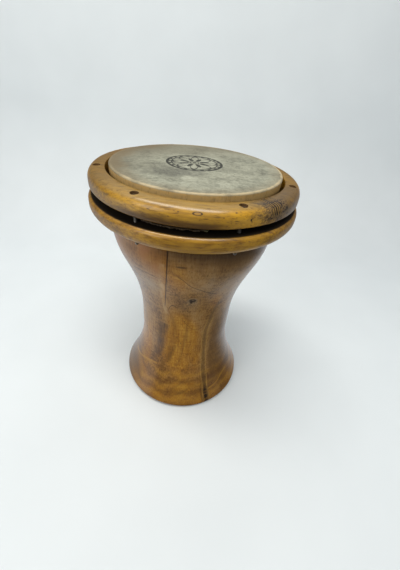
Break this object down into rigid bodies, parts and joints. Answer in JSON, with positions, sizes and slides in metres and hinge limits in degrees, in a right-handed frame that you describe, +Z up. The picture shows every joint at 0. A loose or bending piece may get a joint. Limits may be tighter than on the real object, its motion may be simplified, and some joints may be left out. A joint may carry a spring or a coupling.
{
  "type": "goblet hand drum",
  "caption": "Turned wooden goblet hand drum with a skin head held between two bolted wooden tension rings, open at the flared foot.",
  "frame": {"origin": "middle of the drum's underside, on the floor", "axes": "+Z up along the drum's axis from foot to head, -Y towards the viewer, +X to the viewer's right"},
  "size_m": [0.2698, 0.2698, 0.39],
  "materials": {
    "shell_wood": "satin lacquer over figured brown wood",
    "ring_wood": "satin lacquer over honey-coloured wood",
    "skin": "smooth grey-beige drum skin",
    "bolt_steel": "dull zinc-plated steel"
  },
  "bodies": {
    "root": {"shell": "shell_wood", "lower_ring": "ring_wood", "top_ring": "ring_wood", "drum_head": "skin", "bolt_1": "bolt_steel", "bolt_2": "bolt_steel", "bolt_3": "bolt_steel", "bolt_4": "bolt_steel", "bolt_5": "bolt_steel", "bolt_6": "bolt_steel", "bolt_7": "bolt_steel"}
  },
  "joints": []
}
